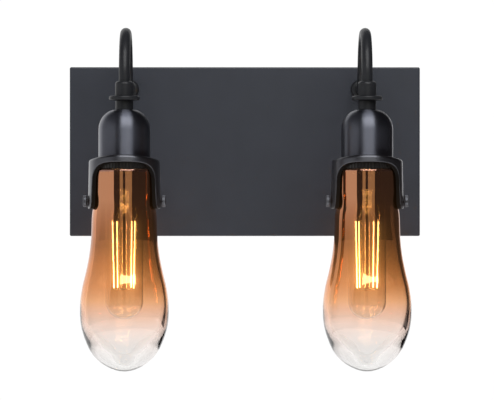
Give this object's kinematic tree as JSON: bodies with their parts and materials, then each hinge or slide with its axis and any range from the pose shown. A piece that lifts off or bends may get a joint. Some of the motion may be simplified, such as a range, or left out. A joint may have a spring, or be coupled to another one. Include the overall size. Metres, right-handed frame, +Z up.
{
  "type": "wall sconce",
  "caption": "Vanity wall sconce: a wide plate, gooseneck arms, domed socket cups and forks that hold copper-tinted drop-shaped glasses round tubular filament bulbs.",
  "frame": {"origin": "centre of the backplate's rear side, on the wall", "axes": "+X to the right seen from the room, +Y into the wall, +Z up"},
  "size_m": [0.316, 0.1811, 0.2973],
  "materials": {
    "plate_paint": "satin charcoal paint",
    "fitting_paint": "satin charcoal paint",
    "cup_paint": "satin charcoal paint, a little glossier",
    "yoke_paint": "satin charcoal paint on a casting",
    "screw_paint": "satin charcoal paint",
    "ring_resin": "black moulded resin",
    "pad_rubber": "soft",
    "zinc_plate": "zinc plated",
    "screw_steel": "dark plated",
    "green_paint": "green",
    "connector_plastic": "moulded",
    "lead_sleeve": "soft sleeve",
    "socket_resin": "moulded resin",
    "socket_brass": "pressed",
    "copper_glass": "copper film that fades to clear glass",
    "bulb_clear": "clear",
    "bulb_brass": "rolled",
    "insulator_glaze": "dark glazed",
    "solder": "soldered",
    "stem_glass": "clear",
    "filament_glow": "lit amber phosphor",
    "wire_steel": "fine wire"
  },
  "bodies": {
    "base": {"back_plate": "plate_paint", "mounting_bracket": "zinc_plate", "plate_screws": "screw_steel", "ground_screw": "green_paint", "wire_connectors": "connector_plastic", "left_arm_boss": "fitting_paint", "left_arm_tube": "fitting_paint", "left_arm_washer": "zinc_plate", "left_arm_nut": "zinc_plate", "left_lamp_lead": "lead_sleeve", "left_arm_collar": "fitting_paint", "left_collar_disc": "fitting_paint", "left_neck": "fitting_paint", "left_socket_nipple": "zinc_plate", "left_socket_cup": "cup_paint", "left_socket_body": "socket_resin", "left_screw_shell": "socket_brass", "left_centre_contact": "socket_brass", "left_yoke": "yoke_paint", "right_arm_boss": "fitting_paint", "right_arm_tube": "fitting_paint", "right_arm_washer": "zinc_plate", "right_arm_nut": "zinc_plate", "right_lamp_lead": "lead_sleeve", "right_arm_collar": "fitting_paint", "right_collar_disc": "fitting_paint", "right_neck": "fitting_paint", "right_socket_nipple": "zinc_plate", "right_socket_cup": "cup_paint", "right_socket_body": "socket_resin", "right_screw_shell": "socket_brass", "right_centre_contact": "socket_brass", "right_yoke": "yoke_paint"},
    "left_glass": {"left_glass_shade": "copper_glass"},
    "left_ring": {"left_shade_ring": "ring_resin"},
    "left_bulb_feed": {"left_bulb_contact": "solder", "left_bulb_insulator": "insulator_glaze"},
    "left_bulb": {"left_bulb_glass": "bulb_clear", "left_bulb_base": "bulb_brass", "left_bulb_stem": "stem_glass", "left_bulb_filaments": "filament_glow", "left_bulb_wires": "wire_steel"},
    "left_outer_pad": {"left_outer_pad": "pad_rubber"},
    "left_outer_screw": {"left_outer_thumbscrew": "screw_paint"},
    "left_inner_pad": {"left_inner_pad": "pad_rubber"},
    "left_inner_screw": {"left_inner_thumbscrew": "screw_paint"},
    "right_glass": {"right_glass_shade": "copper_glass"},
    "right_ring": {"right_shade_ring": "ring_resin"},
    "right_bulb_feed": {"right_bulb_contact": "solder", "right_bulb_insulator": "insulator_glaze"},
    "right_bulb": {"right_bulb_glass": "bulb_clear", "right_bulb_base": "bulb_brass", "right_bulb_stem": "stem_glass", "right_bulb_filaments": "filament_glow", "right_bulb_wires": "wire_steel"},
    "right_outer_pad": {"right_outer_pad": "pad_rubber"},
    "right_outer_screw": {"right_outer_thumbscrew": "screw_paint"},
    "right_inner_pad": {"right_inner_pad": "pad_rubber"},
    "right_inner_screw": {"right_inner_thumbscrew": "screw_paint"}
  },
  "joints": [
    {"name": "left_glass_drop", "type": "slide", "parent": "base", "child": "left_glass", "axis": [0, 0, -1], "range_m": [0, 0.14]},
    {"name": "left_ring_turn", "type": "hinge", "parent": "base", "child": "left_ring", "pos_m": [-0.1042, -0.143, -0.0135], "axis": [0, 0, -1], "range_deg": [0, 45]},
    {"name": "left_bulb_travel", "type": "slide", "parent": "base", "child": "left_bulb_feed", "axis": [0, 0, -1], "range_m": [0, 0.02]},
    {"name": "left_bulb_turn", "type": "hinge", "parent": "left_bulb_feed", "child": "left_bulb", "pos_m": [-0.1042, -0.143, -0.0215], "axis": [0, 0, -1], "range_deg": [0, 1980]},
    {"name": "left_outer_pad_travel", "type": "slide", "parent": "base", "child": "left_outer_pad", "axis": [-1, 0, 0], "range_m": [0, 0.0028]},
    {"name": "left_outer_screw_turn", "type": "hinge", "parent": "left_outer_pad", "child": "left_outer_screw", "pos_m": [-0.1362, -0.143, -0.04465], "axis": [-1, 0, 0], "range_deg": [0, 1450]},
    {"name": "left_inner_pad_travel", "type": "slide", "parent": "base", "child": "left_inner_pad", "axis": [1, 0, 0], "range_m": [0, 0.0028]},
    {"name": "left_inner_screw_turn", "type": "hinge", "parent": "left_inner_pad", "child": "left_inner_screw", "pos_m": [-0.0722, -0.143, -0.04465], "axis": [1, 0, 0], "range_deg": [0, 1450]},
    {"name": "right_glass_drop", "type": "slide", "parent": "base", "child": "right_glass", "axis": [0, 0, -1], "range_m": [0, 0.14]},
    {"name": "right_ring_turn", "type": "hinge", "parent": "base", "child": "right_ring", "pos_m": [0.1042, -0.143, -0.0135], "axis": [0, 0, -1], "range_deg": [0, 45]},
    {"name": "right_bulb_travel", "type": "slide", "parent": "base", "child": "right_bulb_feed", "axis": [0, 0, -1], "range_m": [0, 0.02]},
    {"name": "right_bulb_turn", "type": "hinge", "parent": "right_bulb_feed", "child": "right_bulb", "pos_m": [0.1042, -0.143, -0.0215], "axis": [0, 0, -1], "range_deg": [0, 1980]},
    {"name": "right_outer_pad_travel", "type": "slide", "parent": "base", "child": "right_outer_pad", "axis": [1, 0, 0], "range_m": [0, 0.0028]},
    {"name": "right_outer_screw_turn", "type": "hinge", "parent": "right_outer_pad", "child": "right_outer_screw", "pos_m": [0.1362, -0.143, -0.04465], "axis": [1, 0, 0], "range_deg": [0, 1450]},
    {"name": "right_inner_pad_travel", "type": "slide", "parent": "base", "child": "right_inner_pad", "axis": [-1, 0, 0], "range_m": [0, 0.0028]},
    {"name": "right_inner_screw_turn", "type": "hinge", "parent": "right_inner_pad", "child": "right_inner_screw", "pos_m": [0.0722, -0.143, -0.04465], "axis": [-1, 0, 0], "range_deg": [0, 1450]}
  ],
  "couplings": [
    {"joint": "left_bulb_travel", "follows": "left_bulb_turn", "m_per_rad": 0.00057757},
    {"joint": "left_outer_screw_turn", "follows": "left_outer_pad_travel", "rad_per_m": 8976},
    {"joint": "left_inner_screw_turn", "follows": "left_inner_pad_travel", "rad_per_m": 8976},
    {"joint": "right_bulb_travel", "follows": "right_bulb_turn", "m_per_rad": 0.00057757},
    {"joint": "right_outer_screw_turn", "follows": "right_outer_pad_travel", "rad_per_m": 8976},
    {"joint": "right_inner_screw_turn", "follows": "right_inner_pad_travel", "rad_per_m": 8976}
  ]
}
